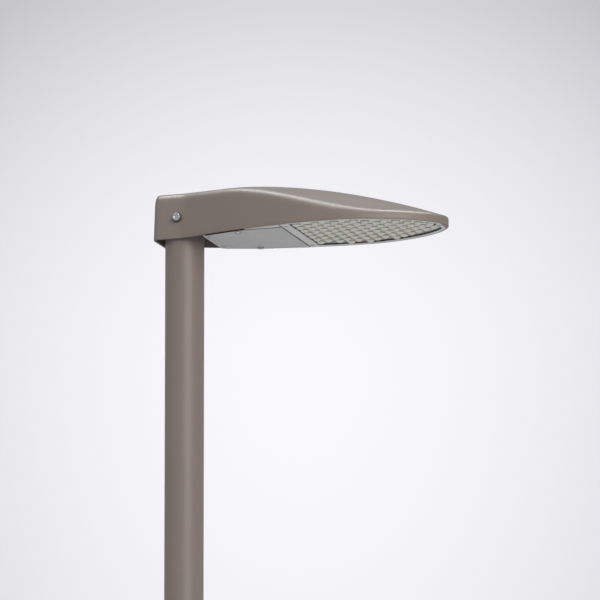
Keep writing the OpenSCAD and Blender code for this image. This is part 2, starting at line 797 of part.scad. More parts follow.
module gear_tray() {
    at_head() color(steel) difference() {
        slab(tray_z, tray_t) rim_shape(cover_x0 + bulkhead_t + 6, opening_x1 + 4, canopy_wall + 8, 14, opening_half - 4);
        block([0, cover_x0 + 38], [-21, 13], [tray_z - 1, tray_z + 4]);
        for (p = post_places) rod(2.3, [p[0], p[1], tray_z - 1], tray_t + 2);
    }
}

post_places = [for (x = [driver_x0 + 6, opening_x1 - 8], y = [-44, 44]) [x, y]];

// Height of the canopy's skin over a point, at a distance inside it
function skin_z(x, y, inset) =
    let (
        zs = ridge_z(x) - inset,
        zc = min(zs, shoulder_z(x) - inset),
        side = inside_half(x, inset) - draft * zc
    )
    zs - (zs - zc) * flank(abs(y) / side);

module tray_posts() {
    at_head() color(steel) for (p = post_places) {
        top = min([for (dx = [-1, 1], dy = [-1, 1]) skin_z(p[0] + dx * post_r, p[1] + dy * post_r, canopy_wall)]);
        rod(post_r, [p[0], p[1], tray_z + tray_t + 0.1], top - tray_z - tray_t - 0.6);
        rod(2.2, [p[0], p[1], tray_z - 1.5], 6);
        rod(4, [p[0], p[1], tray_z - 3.5], 3.2);
    }
}

module led_driver() {
    d = driver_size;
    z1 = tray_z - 0.2;
    at_head() color("#e8e8e6") {
        block([driver_x0, driver_x0 + d[0]], [-d[1] / 2, d[1] / 2], [z1 - d[2], z1]);
        for (x = [driver_x0 + 2, driver_x0 + d[0] - 12])
            block([x, x + 10], [-d[1] / 2 + 8, d[1] / 2 - 8], [z1 - d[2] - 2.5, z1 - d[2] + 1]);
    }
}

module driver_screws() {
    d = driver_size;
    at_head() color(steel) for (x = [driver_x0 + 4, driver_x0 + d[0] - 4], s = [-1, 1])
        rod(2.5, [x, s * (d[1] / 2 - 4), tray_z + tray_t + 0.05], 2.2);
}

module surge_protector() {
    z1 = tray_z - 0.2;
    at_head() color("#c8402f")
        block([driver_x0 + 22, driver_x0 + 62], [34, 50], [z1 - 24, z1]);
}

module head_terminals() {
    z1 = tray_z - 0.2;
    at_head() color("#e9e4d2") difference() {
        block([terminals_x, terminals_x + 28], [-50, -34], [z1 - 18, z1]);
        for (k = [0:3]) rod(2.2, [terminals_x + 5 + 6 * k, -42, z1 - 19], 9);
    }
}

module led_cable() {
    x = driver_x0 + driver_size[0];
    e = bulkhead_x1 + bulkhead_t;
    at_head() color("#e0e0e0") sweep([
        [x + 0.3, 10, 42], [x + 3, 10, 42], [x + 7, 10, 41], [bulkhead_x1 - 8, 10, 36.5], [bulkhead_x1 - 4, 10, 36],
        [e + 3, 10, 36], [e + 7, 10, 34.5], [e + 11, 10, 30], [e + 12, 10, 24], [e + 12, 10, spreader_z + spreader_t + 0.3],
    ], 6, 8);
}

module led_grommet() {
    at_head() color(black) difference() {
        union() {
            rod(6, [bulkhead_x1 - 2, 10, 36], bulkhead_t + 4, "x");
            rod(8, [bulkhead_x1 - 2.3, 10, 36], 2, "x");
            rod(8, [bulkhead_x1 + bulkhead_t + 0.3, 10, 36], 2, "x");
        }
        rod(3.5, [bulkhead_x1 - 5, 10, 36], 14, "x");
    }
}

// ---- Head: light engine

lens_nose_x = inner_nose - lens_nose;

nose_screw_x = inner_nose - 9;

module lens_opening(grow = 0) {
    difference() {
        rim_shape(lens_x0 - grow, lens_nose_x + grow, canopy_wall + rim_gap + lens_band - grow, 26);
        translate([nose_screw_x, 0]) circle(8.5 - grow);
    }
}
screw_places = [
    [strip_x0 + 6, rim_half(strip_x0) - 22],
    [strip_x0 + 6, -(rim_half(strip_x0) - 22)],
    [nose_screw_x, 0],
];

module lens_frame() {
    at_head() color(casting) difference() {
        union() {
            slab(0, lens_frame_t) rim_shape(strip_x0, inner_nose - 1, canopy_wall + rim_gap, 34);
            slab(0, lens_ring_t) lens_opening(6);
            intersection() {
                slab(-10, 10.5) rim_shape(strip_x0, lens_x0, canopy_wall + rim_gap, 6);
                translate([0, 300, 0]) rotate([90, 0, 0]) linear_extrude(600) polygon([
                    [strip_x0, 1], [strip_x0, cover_low + 0.6], [strip_x0 + 3, cover_low + 0.6],
                    [lens_x0 - 1, 0.1], [lens_x0 - 1, 1],
                ]);
            }
        }
        slab(-6, 30) lens_opening();
        for (p = screw_places) {
            rod(2.3, [p[0], p[1], -6], 20);
            rod(4.6, [p[0], p[1], -6], 7.6);
        }
    }
}

module lens_gasket() {
    at_head() color(black) slab(lens_ring_t + 0.1, lens_gasket_t - 0.2) difference() {
        lens_opening(5);
        lens_opening(1);
    }
}

// Staggered lens places that fit inside the lens opening
lens_edge = canopy_wall + rim_gap + lens_band;
function lens_fits(x, y) = norm([nose_screw_x - x, y]) > 8.5 + dome_base
    && min([for (a = [0:15:90]) inside_half(x + dome_base * cos(a), lens_edge) - abs(y) - dome_base * sin(a)]) > 0;
lens_places = [
    for (i = [0:40]) let (x = lens_x0 + dome_base + 0.5 + i * lens_pitch) if (x < lens_nose_x - dome_base)
    for (j = [-8:8]) let (y = (j + (i % 2) / 2) * lens_row_pitch) if (lens_fits(x, y)) [x, y]
];

module lens_plate() {
    at_head() color("#dfe3e6") {
        difference() {
            slab(lens_z, lens_t) lens_opening(5);
            for (p = lens_places) rod(chip, [p[0], p[1], lens_z + lens_t - 0.8], 2);
        }
        for (p = lens_places) intersection() {
            translate([p[0], p[1], lens_z + dome_r - dome_depth]) sphere(dome_r);
            block([p[0] - dome_r, p[0] + dome_r], [p[1] - dome_r, p[1] + dome_r], [lens_z - dome_depth - 1, lens_z + 1]);
        }
    }
}

module led_board() {
    at_head() color("#f2f2ee") slab(board_z, board_t) lens_opening(2);
}

module led_chips() {
    at_head() color("#e6c94a") for (p = lens_places)
        block([p[0] - chip / 2, p[0] + chip / 2], [p[1] - chip / 2, p[1] + chip / 2], [board_z - chip_t, board_z]);
}

module heat_spreader() {
    at_head() color(casting) difference() {
        slab(spreader_z, spreader_t) rim_shape(strip_x0, inner_nose - 22, spreader_inset, 30);
        for (p = screw_places) rod(1.9, [p[0], p[1], spreader_z - 1], spreader_t + 2);
    }
}

module frame_screws() {
    at_head() color(steel) for (p = screw_places) difference() {
        union() {
            rod(1.8, [p[0], p[1], 1], spreader_z - 0.5 + (p[1] == 0 ? 0 : spreader_t));
            rod(4, [p[0], p[1], -0.6], 2);
        }
        rod(1.6, [p[0], p[1], -1], 1.6, $fn = 6);
    }
}

base_plate();
lower_shaft();
reducer_cone();
upper_shaft();
door_frame();
door();
door_screws();
equipment_rail();
terminal_box();
terminal_box_cover();
box_screws();
cable_terminals();
fuse_base();
fuse_carrier();
fuse_link();
box_gland();
earth_stud();
pole_cable();
mast_adapter();
pivot_screws();
tilt_washers();
canopy();
rear_bulkhead();
front_bulkhead();
cable_gland();
head_cable();
gear_frame();
cover_gasket();
gear_cover();
hinge_pins();
cover_screws();
latch_left();
latch_right();
gear_tray();
tray_posts();
led_driver();
driver_screws();
surge_protector();
head_terminals();
led_cable();
led_grommet();
lens_frame();
lens_gasket();
lens_plate();
led_board();
led_chips();
heat_spreader();
frame_screws();
vent_plug();
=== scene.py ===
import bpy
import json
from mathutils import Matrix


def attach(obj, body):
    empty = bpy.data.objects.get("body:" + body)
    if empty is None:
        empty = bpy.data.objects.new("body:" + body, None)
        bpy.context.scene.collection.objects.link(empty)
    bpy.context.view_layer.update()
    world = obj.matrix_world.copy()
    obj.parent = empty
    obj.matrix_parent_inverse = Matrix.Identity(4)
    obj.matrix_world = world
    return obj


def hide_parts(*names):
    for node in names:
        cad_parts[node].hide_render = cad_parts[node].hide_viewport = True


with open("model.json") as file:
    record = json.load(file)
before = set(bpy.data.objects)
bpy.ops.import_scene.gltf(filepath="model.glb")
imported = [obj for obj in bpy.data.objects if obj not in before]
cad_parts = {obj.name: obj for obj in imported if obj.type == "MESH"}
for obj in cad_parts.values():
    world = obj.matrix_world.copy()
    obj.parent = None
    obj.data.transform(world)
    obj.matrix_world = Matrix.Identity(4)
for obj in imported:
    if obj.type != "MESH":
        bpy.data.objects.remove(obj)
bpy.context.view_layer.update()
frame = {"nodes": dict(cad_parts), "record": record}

"""Looks of a street lamp post with a teardrop LED head.

The parts' own dimensions are in millimetres, with heights in the head counted from
its lower rim. Meshes, the camera, the lights and the floor are in metres. The frame
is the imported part's own: origin on the ground at the post's axis, +Z up, +X from
the post towards the head's nose, -Y on the side of the service door.
"""

import json
import logging
import math
from collections.abc import Callable, Sequence
from dataclasses import dataclass, field
from enum import Enum
from typing import Any

import bmesh
import bpy
from mathutils import Matrix, Vector

log = logging.getLogger("street_lamp")
NODES: dict[str, bpy.types.Object] = frame["nodes"]
MM = 0.001
RIM_Z = 4.0  # height of the head's lower rim above the ground
MERGE_M = 1e-6  # corners nearer than this are one corner
NODE_MERGE_M = 2e-6  # the same, for the loose triangles of a CAD node
FLAT_DEG = 0.6  # faces that meet flatter than this are one face
SHARP_DEG = 38.0  # edges sharper than this are rounded
SMOOTH_DEG = 32.0  # edges flatter than this are shaded smooth on small parts
Point = tuple[float, float, float]
FlatPoint = tuple[float, float]


# ---------------------------------------------------------------- colour and nodes


def linear(hex_colour: str) -> tuple[float, float, float, float]:
    """Turns an sRGB hex colour into the linear colour a shader works in.

    Args:
        hex_colour: the colour as "#rrggbb".

    Returns:
        Linear red, green and blue, and a full alpha.
    """
    parts = [int(hex_colour[i : i + 2], 16) / 255 for i in (1, 3, 5)]
    lin = [c / 12.92 if c <= 0.04045 else ((c + 0.055) / 1.055) ** 2.4 for c in parts]
    return (lin[0], lin[1], lin[2], 1.0)


def add_node(
    tree: bpy.types.NodeTree,
    kind: str,
    settings: dict[str, Any] | None = None,
    links: dict[str, bpy.types.NodeSocket] | None = None,
) -> bpy.types.Node:
    """Adds one node with its settings and its incoming links.

    Args:
        tree: the node tree it goes into.
        kind: the node's type name.
        settings: socket values by socket name or number, and node properties by name.
        links: incoming links by socket name or number.

    Returns:
        The new node.
    """
    node = tree.nodes.new(kind)
    for key, value in (settings or {}).items():
        if isinstance(key, int) or key in node.inputs:
            node.inputs[key].default_value = value
        else:
            setattr(node, key, value)
    for key, socket in (links or {}).items():
        tree.links.new(socket, node.inputs[key])
    return node


class Grain(Enum):
    """How a surface's fine texture runs."""

    EVEN = (1.0, 1.0, 1.0)
    ALONG_Z = (1.0, 1.0, 0.04)
    ALONG_X = (0.04, 1.0, 1.0)
    ALONG_Y = (1.0, 0.04, 1.0)


@dataclass(frozen=True)
class Finish:
    """A procedural finish: base colour, drift of tone, fine grain and gloss.

    Attributes:
        name: the real finish, in a maker's words.
        colour: sRGB hex of the clean surface.
        drift: sRGB hex that broad, faint clouds of tone lean towards.
        cloud_mm: size of those clouds.
        drift_share: how far the clouds go towards the drift colour.
        grain_mm: spacing of the fine texture.
        grain_depth_mm: its height.
        grain: how the fine texture runs.
        roughness: mean roughness.
        roughness_spread: how far the roughness swings with the grain.
        metallic: 1 for bare metal.
        ior: index of refraction, left at its default for metal.
        coat: clear coat weight.
        subsurface: share of light scattered under the surface.
    """

    name: str
    colour: str
    drift: str
    cloud_mm: float = 60.0
    drift_share: float = 0.5
    grain_mm: float = 1.0
    grain_depth_mm: float = 0.02
    grain: Grain = Grain.EVEN
    roughness: float = 0.5
    roughness_spread: float = 0.06
    metallic: float = 0.0
    ior: float = 1.5
    coat: float = 0.0
    subsurface: float = 0.0

    def material(self) -> bpy.types.Material:
        """Builds the finish's material, or returns it if it is there already."""
        known = bpy.data.materials.get(self.name)
        if known:
            return known
        mat = bpy.data.materials.new(self.name)
        mat.use_nodes = True
        tree = mat.node_tree
        tree.nodes.clear()
        place = add_node(tree, "ShaderNodeTexCoord")
        turned = add_node(
            tree, "ShaderNodeMapping", {"Scale": self.grain.value}, {"Vector": place.outputs["Object"]}
        )
        clouds = add_node(
            tree,
            "ShaderNodeTexNoise",
            {"Scale": 1 / (self.cloud_mm * MM), "Detail": 4.0, "Roughness": 0.55},
            {"Vector": place.outputs["Object"]},
        )
        softened = add_node(
            tree,
            "ShaderNodeMapRange",
            {"From Min": 0.35, "From Max": 0.65, "To Min": 0.0, "To Max": self.drift_share},
            {"Value": clouds.outputs["Fac"]},
        )
        tone = add_node(
            tree,
            "ShaderNodeMix",
            {"data_type": "RGBA", 6: linear(self.colour), 7: linear(self.drift)},
            {0: softened.outputs["Result"]},
        )
        grain = add_node(
            tree,
            "ShaderNodeTexNoise",
            {"Scale": 1 / (self.grain_mm * MM), "Detail": 2.0, "Roughness": 0.5},
            {"Vector": turned.outputs["Vector"]},
        )
        gloss = add_node(
            tree,
            "ShaderNodeMapRange",
            {
                "From Min": 0.3,
                "From Max": 0.7,
                "To Min": max(0.02, self.roughness - self.roughness_spread),
                "To Max": min(1.0, self.roughness + self.roughness_spread),
            },
            {"Value": grain.outputs["Fac"]},
        )
        relief = add_node(
            tree,
            "ShaderNodeBump",
            {"Strength": 0.6, "Distance": self.grain_depth_mm * MM},
            {"Height": grain.outputs["Fac"]},
        )
        settings: dict[str, Any] = {"Metallic": self.metallic}
        if not self.metallic:
            settings["IOR"] = self.ior
        if self.coat:
            settings.update({"Coat Weight": self.coat, "Coat Roughness": 0.12})
        if self.subsurface:
            settings.update({"Subsurface Weight": self.subsurface, "Subsurface Scale": 0.004})
        shader = add_node(
            tree,
            "ShaderNodeBsdfPrincipled",
            settings,
            {
                "Base Color": tone.outputs[2],
                "Roughness": gloss.outputs["Result"],
                "Normal": relief.outputs["Normal"],
            },
        )
        add_node(tree, "ShaderNodeOutputMaterial", None, {"Surface": shader.outputs["BSDF"]})
        return mat


# Polyester powder coat on steel and aluminium: satin, with a fine orange-peel skin.
POWDER_COAT = Finish(
    "powder_coat_warm_grey", "#82776f", "#7e736c", cloud_mm=110, drift_share=0.4,
    grain_mm=1.6, grain_depth_mm=0.003, roughness=0.43, roughness_spread=0.02,
)
# The same coat in neutral grey, on the gear cover.
COVER_COAT = Finish(
    "powder_coat_neutral_grey", "#c0c0bf", "#babab9", cloud_mm=50,
    grain_mm=1.2, grain_depth_mm=0.012, roughness=0.46, roughness_spread=0.05,
)
# Pressure die-cast aluminium with a light grey coat: a faintly pebbled skin.
CAST_COAT = Finish(
    "die_cast_aluminium_light_grey", "#dcdcda", "#d2d2d0", cloud_mm=30,
    grain_mm=1.6, grain_depth_mm=0.03, roughness=0.5, roughness_spread=0.08,
)
# Bright zinc plate on pressed steel: soft blue-grey spangle.
ZINC_PLATE = Finish(
    "zinc_plated_steel", "#b9bdc0", "#a9acae", cloud_mm=8, drift_share=0.8,
    grain_mm=0.8, grain_depth_mm=0.006, roughness=0.36, roughness_spread=0.1, metallic=1.0,
)
# Turned stainless steel screws: bright, with fine machining lines.
STAINLESS = Finish(
    "turned_stainless_steel", "#c9cacb", "#b6b7b9", cloud_mm=5, drift_share=0.5,
    grain_mm=0.5, grain_depth_mm=0.004, roughness=0.28, roughness_spread=0.08, metallic=1.0,
)
# Glass-filled nylon: near black, dull, spark-eroded grain.
NYLON_BLACK = Finish(
    "moulded_nylon_black", "#1d1d1f", "#26262a", cloud_mm=12,
    grain_mm=0.5, grain_depth_mm=0.02, roughness=0.55, roughness_spread=0.08,
)
# Moulded ABS in mid grey, fine even grain.
ABS_GREY = Finish(
    "moulded_abs_grey", "#8d8f90", "#858788", cloud_mm=25,
    grain_mm=0.6, grain_depth_mm=0.015, roughness=0.5, roughness_spread=0.06,
)
# Moulded polyamide terminal bodies, warm cream.
POLYAMIDE_CREAM = Finish(
    "moulded_polyamide_cream", "#cbc4a9", "#c1b99b", cloud_mm=10,
    grain_mm=0.5, grain_depth_mm=0.012, roughness=0.48, roughness_spread=0.06, subsurface=0.08,
)
# Glazed steatite: smooth white with a wet gloss.
GLAZED_CERAMIC = Finish(
    "glazed_steatite_white", "#e9e7e0", "#dedbd2", cloud_mm=14,
    grain_mm=2.0, grain_depth_mm=0.01, roughness=0.16, roughness_spread=0.04, coat=0.5,
)
# Near-black coat on the cast mast adapter, painted shade for the shadow inside the collar: fine texture.
ADAPTER_PAINTED_SHADE = Finish(
    "mast_adapter_painted_shade_near_black", "#2b2a29", "#343332", cloud_mm=20,
    grain_mm=1.2, grain_depth_mm=0.02, roughness=0.6, roughness_spread=0.06,
)
# Silicone seal: matt black with a dry bloom.
SILICONE = Finish(
    "silicone_seal_black", "#222223", "#303031", cloud_mm=6,
    grain_mm=0.6, grain_depth_mm=0.01, roughness=0.72, roughness_spread=0.06, ior=1.41,
)
# Rubber cable sheath: matt, with faint drawing lines along it.
RUBBER_SHEATH = Finish(
    "rubber_cable_sheath", "#232324", "#2e2e2f", cloud_mm=20,
    grain_mm=0.7, grain_depth_mm=0.01, roughness=0.66, roughness_spread=0.08,
)
# PVC sheath on the LED lead: off-white, waxy.
PVC_SHEATH = Finish(
    "pvc_cable_sheath_white", "#dcdcda", "#d0d0cd", cloud_mm=12,
    grain_mm=0.6, grain_depth_mm=0.008, roughness=0.4, roughness_spread=0.06, subsurface=0.1,
)
# Injection-moulded optical acrylic with a frosted skin: pale, softly glossy.
LENS_ACRYLIC = Finish(
    "optical_acrylic_frosted", "#e2e1dc", "#d6d6d2", cloud_mm=30, drift_share=0.5,
    grain_mm=3.0, grain_depth_mm=0.004, roughness=0.22, roughness_spread=0.05, ior=1.49,
    coat=0.3, subsurface=0.2,
)
# The foot of each lens dome: painted light of the LEDs' yellow phosphor seen through the acrylic, and
# painted shade in the crease round the dome.
LENS_FOOT_PAINTED_LIGHT = Finish(
    "lens_foot_painted_led_glow_and_shade", "#aaa36c", "#8d8a66", cloud_mm=9, drift_share=0.8,
    grain_mm=2.0, grain_depth_mm=0.006, roughness=0.3, roughness_spread=0.06, ior=1.49, coat=0.3,
)
# Glass-filled nylon washer in brown grey, painted shade for the soft shadow round the pivot screw's head.
WASHER_PAINTED_SHADE = Finish(
    "nylon_washer_painted_shade_brown_grey", "#4a4643", "#403c3a", cloud_mm=8,
    grain_mm=0.5, grain_depth_mm=0.02, roughness=0.5, roughness_spread=0.08,
)
# White solder mask on the LED board: bright, satin.
SOLDER_MASK = Finish(
    "solder_mask_white", "#efefec", "#e6e6e2", cloud_mm=20,
    grain_mm=0.9, grain_depth_mm=0.006, roughness=0.42, roughness_spread=0.06,
)
# Silicone-phosphor LED face: matt yellow.
PHOSPHOR = Finish(
    "led_phosphor_yellow", "#e3c765", "#d8b748", cloud_mm=2,
    grain_mm=0.4, grain_depth_mm=0.008, roughness=0.5, roughness_spread=0.08, subsurface=0.1,
)
# White polycarbonate case of the LED driver.
DRIVER_CASE = Finish(
    "moulded_polycarbonate_white", "#e2e2e0", "#d7d7d4", cloud_mm=20,
    grain_mm=0.5, grain_depth_mm=0.015, roughness=0.45, roughness_spread=0.06,
)
# Red polycarbonate case of the surge protector.
SURGE_CASE = Finish(
    "moulded_polycarbonate_red", "#b63a2b", "#a93325", cloud_mm=14,
    grain_mm=0.5, grain_depth_mm=0.012, roughness=0.42, roughness_spread=0.06,
)

# Matt paint on the studio's floor: pale, hardly any grain.
FLOOR_PAINT = Finish(
    "studio_floor_pale", "#f2f2f3", "#eeeeef", cloud_mm=900, grain_mm=30,
    grain_depth_mm=0.05, roughness=0.85, roughness_spread=0.05,
)

FINISH_OF_SLOT: dict[str, Finish] = {
    "post_paint": POWDER_COAT,
    "canopy_paint": POWDER_COAT,
    "cover_paint": COVER_COAT,
    "casting": CAST_COAT,
    # The mast adapter's near black is painted shade.
    "dark_coat": ADAPTER_PAINTED_SHADE,
    "zinc_steel": ZINC_PLATE,
    "stainless": STAINLESS,
    "black_plastic": NYLON_BLACK,
    "grey_plastic": ABS_GREY,
    "cream_plastic": POLYAMIDE_CREAM,
    "white_ceramic": GLAZED_CERAMIC,
    "seal_rubber": SILICONE,
    "cable_sheath": RUBBER_SHEATH,
    "white_sheath": PVC_SHEATH,
    "lens_acrylic": LENS_ACRYLIC,
    "board_white": SOLDER_MASK,
    "chip_yellow": PHOSPHOR,
    "driver_case": DRIVER_CASE,
    "surge_red": SURGE_CASE,
}


def dress(obj: bpy.types.Object, finish: Finish) -> None:
    """Gives an object one finish all over.

    Args:
        obj: the mesh object.
        finish: its finish.
    """
    obj.data.materials.clear()
    obj.data.materials.append(finish.material())


def dress_cad_nodes() -> None:
    """Gives every CAD node the finish of its material slot."""
    for part in frame["record"]["subparts"]:
        node = NODES[part["node"]]
        dress(node, FINISH_OF_SLOT[part["material_slot"]])


# ---------------------------------------------------------------- modelling helpers


def only(obj: bpy.types.Object) -> None:
    """Selects one object and makes it the active one."""
    bpy.ops.object.select_all(action="DESELECT")
    obj.select_set(True)
    bpy.context.view_layer.objects.active = obj


def settle(obj: bpy.types.Object, smooth_deg: float = 30.0) -> bpy.types.Object:
    """Puts an object's place into its mesh and smooths its gentle edges.

    Args:
        obj: the object.
        smooth_deg: edges flatter than this are shaded smooth.

    Returns:
        The same object.
    """
    only(obj)
    bpy.ops.object.transform_apply(location=True, rotation=True, scale=True)
    bpy.ops.object.shade_smooth_by_angle(angle=math.radians(smooth_deg))
    return obj


def mesh_object(
    name: str, points: Sequence[Point], faces: Sequence[Sequence[int]]
) -> bpy.types.Object:
    """Makes an object from points and faces, with its faces pointing outwards.

    Args:
        name: the object's name.
        points: the corners.
        faces: corner numbers of each face.

    Returns:
        The new object.
    """
    mesh = bpy.data.meshes.new(name)
    mesh.from_pydata(points, [], faces)
    shape = bmesh.new()
    shape.from_mesh(mesh)
    bmesh.ops.remove_doubles(shape, verts=shape.verts, dist=MERGE_M)
    bmesh.ops.recalc_face_normals(shape, faces=shape.faces)
    shape.to_mesh(mesh)
    shape.free()
    obj = bpy.data.objects.new(name, mesh)
    bpy.context.scene.collection.objects.link(obj)
    return obj


def apply_modifiers(obj: bpy.types.Object) -> None:
    """Applies every modifier of an object."""
    only(obj)
    for name in [m.name for m in obj.modifiers]:
        bpy.ops.object.modifier_apply(modifier=name)


def combine(shape: bpy.types.Object, tool: bpy.types.Object, operation: str) -> None:
    """Applies one boolean to a shape and removes its tool.

    Args:
        shape: the shape that stays.
        tool: the shape that is added or cut away.
        operation: "UNION" or "DIFFERENCE".
    """
    boolean = shape.modifiers.new(operation, "BOOLEAN")
    boolean.operation, boolean.solver, boolean.object = operation, "EXACT", tool
    apply_modifiers(shape)
    bpy.data.objects.remove(tool)


def pick_faces(obj: bpy.types.Object, wanted: Callable[[bpy.types.MeshPolygon], bool]) -> None:
    """Selects faces by a rule and leaves the object in edit mode.

    Args:
        obj: the object.
        wanted: says whether a face is taken.
    """
    only(obj)
    bpy.ops.object.mode_set(mode="EDIT")
    bpy.ops.mesh.select_mode(type="FACE")
    bpy.ops.mesh.select_all(action="DESELECT")
    bpy.ops.object.mode_set(mode="OBJECT")
    for face in obj.data.polygons:
        face.select = wanted(face)
    bpy.ops.object.mode_set(mode="EDIT")


def eased_edges(node: str, name: str, width_mm: float) -> bpy.types.Object:
    """Copies a node's shape as one closed mesh and rounds its sharp edges.

    Args:
        node: the CAD node.
        name: the new piece's name.
        width_mm: width of the rounding, or 0 to leave the edges as they are.

    Returns:
        The new piece.
    """
    mesh = NODES[node].data.copy()
    mesh.name = name
    obj = bpy.data.objects.new(name, mesh)
    bpy.context.scene.collection.objects.link(obj)
    pick_faces(obj, lambda face: True)
    bpy.ops.mesh.remove_doubles(threshold=NODE_MERGE_M)
    bpy.ops.mesh.dissolve_limited(angle_limit=math.radians(FLAT_DEG))
    bpy.ops.mesh.normals_make_consistent(inside=False)
    bpy.ops.object.mode_set(mode="OBJECT")
    if width_mm:
        round_off(obj, width_mm)
    return settle(obj, SMOOTH_DEG)


def round_off(obj: bpy.types.Object, width_mm: float, segments: int = 2) -> None:
    """Rounds an object's sharp edges with an applied bevel.

    Args:
        obj: the object.
        width_mm: width of the rounding.
        segments: spans across it.
    """
    bevel = obj.modifiers.new("eased edges", "BEVEL")
    bevel.width, bevel.segments = width_mm * MM, segments
    bevel.limit_method, bevel.angle_limit = "ANGLE", math.radians(SHARP_DEG)
    bevel.use_clamp_overlap = True
    bevel.miter_outer = "MITER_ARC"
    apply_modifiers(obj)


def fit_out(
    piece: bpy.types.Object, finish: Finish | None, body: str, replaced: Sequence[str] = ()
) -> bpy.types.Object:
    """Gives a piece its finish and its body, and hides the nodes that it replaces.

    Args:
        piece: the piece.
        finish: its finish, or nothing when it has its materials already.
        body: the body that it moves with.
        replaced: the CAD nodes that it replaces.

    Returns:
        The same piece.
    """
    if finish:
        dress(piece, finish)
    if replaced:
        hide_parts(*replaced)
    log.info("piece %s on %s", piece.name, body)
    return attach(piece, body)


# ---------------------------------------------------------------- the head's form


def smooth_step(s: float) -> float:
    """Eases from 0 to 1 as s goes from 0 to 1."""
    t = min(1.0, max(0.0, s))
    return t * t * (3 - 2 * t)


def corner_drop(radius: float, depth: float) -> float:
    """How far a rounded corner has cut in, at a depth from the face."""
    if depth >= radius:
        return 0.0
    return radius - math.sqrt(max(0.0, radius**2 - (radius - max(0.0, depth)) ** 2))


@dataclass
class HeadForm:
    """The head's outer surface, as functions of the distance from the post's axis, in mm.

    Attributes:
        length: from the back to the nose.
        width: the largest width.
        ridge: height of the ridge above the rim.
        shoulder: height of the shoulder at the collar.
        lip: height of the lip round the nose.
        wall: thickness of the shell.
        sag: how far the shoulder falls between collar and body.
        rear_x: the back's place.
        collar_half: half-width of the collar.
        flare_x: where the collar begins to widen.
        corner_r: radius of the back's upright corners.
        edge_r: radius that rounds the back's top edge.
        crease_r: radius of the crease between flank and side wall.
        rim_r: radius of the lower rim.
        nose_r: radius that rounds the nose's top edge.
        draft: slope of the side walls.
        widest_share: where the head is widest, as a share of its length.
        fall_from: from the back to where the shoulder begins to fall.
        fall_share: where it reaches the lip, as a share of the length.
        top_from: from the back to the ridge's highest place.
        ridge_power: how the ridge curves down to the nose.
    """

    length: float = 586.0
    width: float = 235.0
    ridge: float = 100.0
    shoulder: float = 89.0
    sag: float = 3.5
    lip: float = 17.0
    wall: float = 3.5
    rear_x: float = -51.8664
    collar_half: float = 47.4144
    flare_x: float = 4.0
    corner_r: float = 14.0
    edge_r: float = 7.0
    crease_r: float = 19.0
    rim_r: float = 1.2
    nose_r: float = 4.0
    draft: float = math.tan(math.radians(1.5))
    widest_share: float = 0.66
    fall_from: float = 148.0
    fall_share: float = 0.829
    top_from: float = 182.0
    ridge_power: float = 1.75

    @property
    def nose_x(self) -> float:
        """The nose's place."""
        return self.rear_x + self.length

    @property
    def widest_x(self) -> float:
        """Where the head is widest."""
        return self.rear_x + self.length * self.widest_share

    def rise(self, s: float) -> float:
        """How far the collar has widened into the body, from 0 to 1."""
        ease = 0.1
        g = 0.0 if s <= 0 else math.sin(math.pi / 2 * min(s, 1.0)) ** 0.85
        return (math.hypot(g, ease) - ease) / (math.hypot(1.0, ease) - ease)

    def half_width(self, x: float) -> float:
        """Half-width of the rim."""
        if x < self.widest_x:
            s = (x - self.flare_x) / (self.widest_x - self.flare_x)
            wide = self.collar_half + (self.width / 2 - self.collar_half) * self.rise(s)
            return wide - corner_drop(self.corner_r, x - self.rear_x)
        t = (x - self.widest_x) / (self.nose_x - self.widest_x)
        return self.width / 2 * max(0.0, 1 - t**1.8) ** (1 / 1.75)

    def inside_half(self, x: float, inset: float) -> float:
        """Half-width at a distance inside the rim, measured square to it."""
        slope = min(6.0, abs(self.half_width(x + 0.5) - self.half_width(x - 0.5)))
        return self.half_width(x) - inset * math.hypot(1.0, slope)

    def shoulder_z(self, x: float) -> float:
        """Height of the crease between flank and side wall."""
        x0, x1 = self.rear_x + self.fall_from, self.rear_x + self.length * self.fall_share
        collar = self.shoulder - self.sag * smooth_step((x - self.rear_x - 42) / 110)
        return self.lip + (collar - self.lip) * (1 - smooth_step((x - x0) / (x1 - x0)))

    def ridge_z(self, x: float) -> float:
        """Height of the ridge."""
        top_x = self.rear_x + self.top_from
        if x < top_x:
            return self.ridge - 4 * smooth_step((top_x - x) / (top_x - self.rear_x))
        along = (x - top_x) / (self.nose_x - top_x)
        return self.lip + (self.ridge - self.lip) * (1 - along**self.ridge_power)

    def flank(self, t: float) -> float:
        """Fall of the flank from ridge to shoulder, for t from 0 to 1."""
        return 2.1 * t * t - 1.1 * t**3

    def half_section(self, x: float, half: float, inset: float, steps: int) -> list[FlatPoint]:
        """One half of the cross-section, from the rim to the ridge.

        Args:
            x: the place along the head.
            half: half-width of the rim there.
            inset: distance inside the skin.
            steps: how many spans the flank has.

        Returns:
            Points as (y, z), in mm.
        """
        drop = corner_drop(self.edge_r, x - self.rear_x) + corner_drop(self.nose_r, self.nose_x - x) + inset
        zs = self.ridge_z(x) - drop
        zc = min(zs, self.shoulder_z(x) - drop)
        r = min(max(1.5, self.crease_r - inset), 0.62 * zc, 0.5 * half)
        low = 0.0 if inset else self.rim_r
        corner = (half - self.draft * zc, zc)
        side = (half - self.draft * (zc - r), zc - r)
        top_y = corner[0] - r
        top = (top_y, zs - (zs - zc) * self.flank(top_y / corner[0]))
        points = [(half, 0.0)] if inset else [
            (half - low, 0.0), (half - 0.6 * low, 0.12 * low), (half - 0.2 * low, 0.45 * low), (half, low)
        ]
        points += [
            (half - self.draft * (low + (side[1] - low) * k / 6), low + (side[1] - low) * k / 6)
            for k in range(1, 7)
        ]
        for k in range(1, 8):
            t = k / 8
            points.append(tuple(
                (1 - t) ** 2 * side[i] + 2 * t * (1 - t) * corner[i] + t * t * top[i] for i in (0, 1)
            ))
        points.append(top)
        for k in range(1, steps + 1):
            y = top_y * (1 - k / steps)
            points.append((y, zs - (zs - zc) * self.flank(y / corner[0])))
        return points

